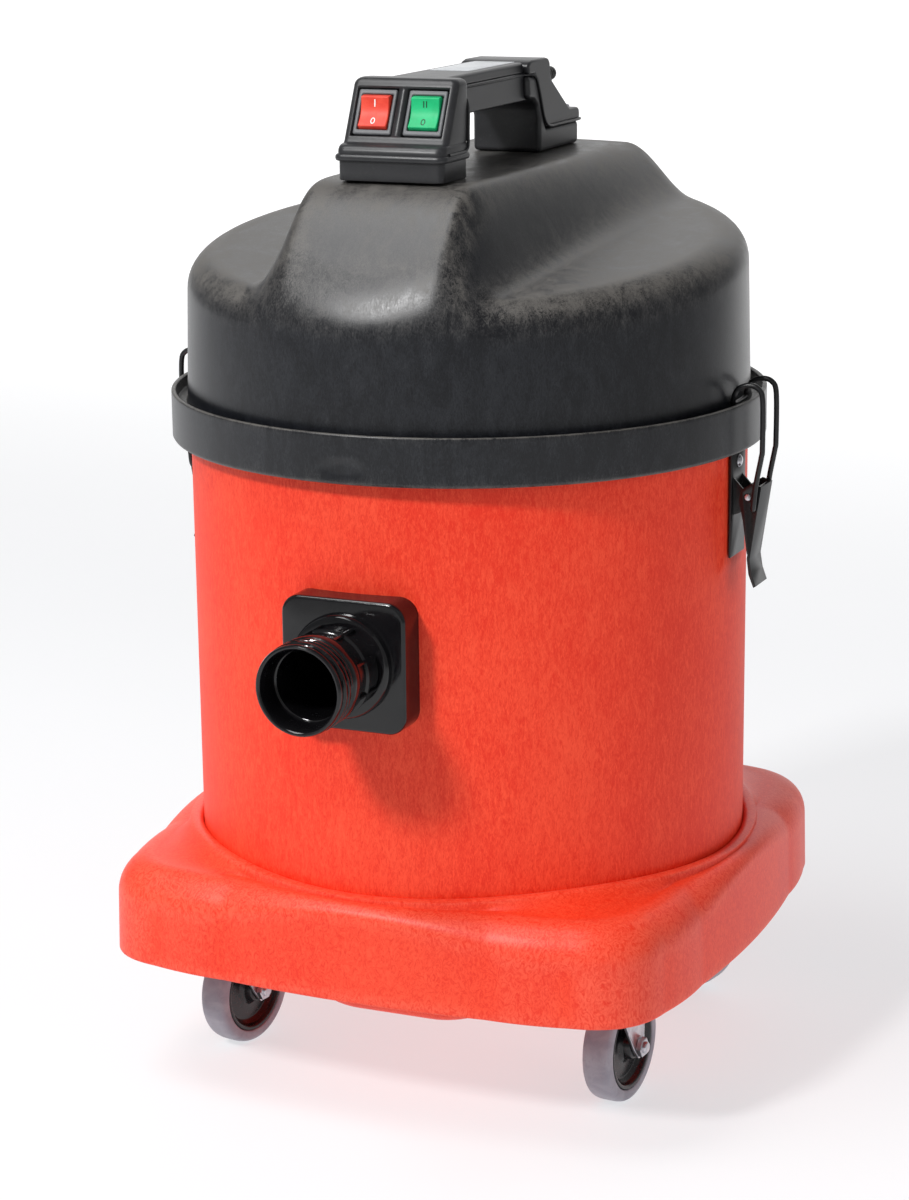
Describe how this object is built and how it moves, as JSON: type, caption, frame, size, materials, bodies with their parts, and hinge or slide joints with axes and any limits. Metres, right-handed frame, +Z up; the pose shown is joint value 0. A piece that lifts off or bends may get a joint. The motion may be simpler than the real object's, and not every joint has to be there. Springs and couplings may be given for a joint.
{
  "type": "shop vacuum",
  "caption": "Tub shop vacuum with a ribbed hose inlet on a round drum, a square base on swivel casters, and a ridged head with a carry handle, rocker switches and side toggle latches.",
  "frame": {"origin": "centre of the footprint at floor level, under the wheels", "axes": "+Z up, -Y towards the front with the hose inlet and the switches, +X towards the right latch, so that +X is on the right when looking at the front"},
  "size_m": [0.4176, 0.4688, 0.6528],
  "materials": {
    "red_plastic": "rotomoulded, fine fibrous mottling",
    "black_plastic": "rotomoulded, fine grain, rubbed edges",
    "satin_plastic": "satin",
    "gloss_black": "gloss",
    "grey_plastic": "satin",
    "rocker_red": "satin gloss",
    "rocker_green": "satin gloss",
    "pale_label": "smooth film",
    "black_steel": "black coated",
    "zinc": "bright zinc",
    "wheel_hub": "satin",
    "wheel_tyre": "smooth, non-marking",
    "seal_rubber": "matt",
    "filter_cloth": "felted",
    "motor_metal": "cast"
  },
  "bodies": {
    "body": {"base_chassis": "red_plastic", "drum_body": "red_plastic", "inlet_flange": "gloss_black", "inlet_neck": "gloss_black", "inlet_elbow": "black_plastic", "head_cover": "black_plastic", "lid_seal": "seal_rubber", "motor_plate": "black_plastic", "motor_left": "motor_metal", "motor_right": "motor_metal", "filter_ring": "black_plastic", "filter_bag": "filter_cloth", "handle_lower": "satin_plastic", "handle_upper": "satin_plastic", "handle_label": "pale_label", "cord_gland": "satin_plastic", "rear_screw_left": "zinc", "rear_screw_right": "zinc", "switch_bezel_red": "grey_plastic", "switch_bezel_green": "grey_plastic", "latch_bracket_right": "black_steel", "latch_pin_right": "zinc", "latch_rivet_right": "zinc", "latch_bracket_left": "black_steel", "latch_pin_left": "zinc", "latch_rivet_left": "zinc", "plate_front_right": "zinc", "plate_front_left": "zinc", "plate_rear_right": "zinc", "plate_rear_left": "zinc"},
    "rocker_red": {"rocker_red": "rocker_red"},
    "rocker_green": {"rocker_green": "rocker_green"},
    "latch_lever_right": {"latch_lever_right": "black_steel"},
    "latch_bail_right": {"latch_bail_right": "black_steel"},
    "latch_lever_left": {"latch_lever_left": "black_steel"},
    "latch_bail_left": {"latch_bail_left": "black_steel"},
    "swivel_front_right": {"fork_front_right": "zinc", "axle_front_right": "zinc"},
    "wheel_front_right": {"hub_front_right": "wheel_hub", "tyre_front_right": "wheel_tyre"},
    "swivel_front_left": {"fork_front_left": "zinc", "axle_front_left": "zinc"},
    "wheel_front_left": {"hub_front_left": "wheel_hub", "tyre_front_left": "wheel_tyre"},
    "swivel_rear_right": {"fork_rear_right": "zinc", "axle_rear_right": "zinc"},
    "wheel_rear_right": {"hub_rear_right": "wheel_hub", "tyre_rear_right": "wheel_tyre"},
    "swivel_rear_left": {"fork_rear_left": "zinc", "axle_rear_left": "zinc"},
    "wheel_rear_left": {"hub_rear_left": "wheel_hub", "tyre_rear_left": "wheel_tyre"}
  },
  "joints": [
    {"name": "rocker_red_tip", "type": "hinge", "parent": "body", "child": "rocker_red", "pos_m": [-0.0169, -0.07276, 0.63063], "axis": [-1, 0, 0], "range_deg": [0, 14]},
    {"name": "rocker_green_tip", "type": "hinge", "parent": "body", "child": "rocker_green", "pos_m": [0.0169, -0.07276, 0.63063], "axis": [-1, 0, 0], "range_deg": [0, 14]},
    {"name": "latch_lever_right_turn", "type": "hinge", "parent": "body", "child": "latch_lever_right", "pos_m": [0.1965, 0.0275, 0.387], "axis": [0, -1, 0], "range_deg": [0, 80]},
    {"name": "latch_bail_right_turn", "type": "hinge", "parent": "latch_lever_right", "child": "latch_bail_right", "pos_m": [0.2005, 0.0275, 0.3795], "axis": [0, -1, 0], "range_deg": [-78, 0]},
    {"name": "latch_lever_left_turn", "type": "hinge", "parent": "body", "child": "latch_lever_left", "pos_m": [-0.1965, 0.0275, 0.387], "axis": [0, 1, 0], "range_deg": [0, 80]},
    {"name": "latch_bail_left_turn", "type": "hinge", "parent": "latch_lever_left", "child": "latch_bail_left", "pos_m": [-0.2005, 0.0275, 0.3795], "axis": [0, 1, 0], "range_deg": [-78, 0]},
    {"name": "swivel_front_right_turn", "type": "hinge", "parent": "body", "child": "swivel_front_right", "pos_m": [0.137, -0.0855, 0.09], "axis": [0, 0, 1], "continuous": true},
    {"name": "wheel_front_right_roll", "type": "hinge", "parent": "swivel_front_right", "child": "wheel_front_right", "pos_m": [0.13918, -0.0606, 0.0375], "axis": [0.9962, -0.0872, 0], "continuous": true},
    {"name": "swivel_front_left_turn", "type": "hinge", "parent": "body", "child": "swivel_front_left", "pos_m": [-0.137, -0.0855, 0.09], "axis": [0, 0, 1], "continuous": true},
    {"name": "wheel_front_left_roll", "type": "hinge", "parent": "swivel_front_left", "child": "wheel_front_left", "pos_m": [-0.13266, -0.06088, 0.0375], "axis": [0.9848, -0.1736, 0], "continuous": true},
    {"name": "swivel_rear_right_turn", "type": "hinge", "parent": "body", "child": "swivel_rear_right", "pos_m": [0.137, 0.1405, 0.09], "axis": [0, 0, 1], "continuous": true},
    {"name": "wheel_rear_right_roll", "type": "hinge", "parent": "swivel_rear_right", "child": "wheel_rear_right", "pos_m": [0.11238, 0.14484, 0.0375], "axis": [0.1736, 0.9848, 0], "continuous": true},
    {"name": "swivel_rear_left_turn", "type": "hinge", "parent": "body", "child": "swivel_rear_left", "pos_m": [-0.137, 0.1405, 0.09], "axis": [0, 0, 1], "continuous": true},
    {"name": "wheel_rear_left_roll", "type": "hinge", "parent": "swivel_rear_left", "child": "wheel_rear_left", "pos_m": [-0.1318, 0.16495, 0.0375], "axis": [0.9781, -0.2079, 0], "continuous": true}
  ],
  "couplings": [
    {"joint": "latch_bail_right_turn", "follows": "latch_lever_right_turn", "ratio": -0.97},
    {"joint": "latch_bail_left_turn", "follows": "latch_lever_left_turn", "ratio": -0.97}
  ]
}
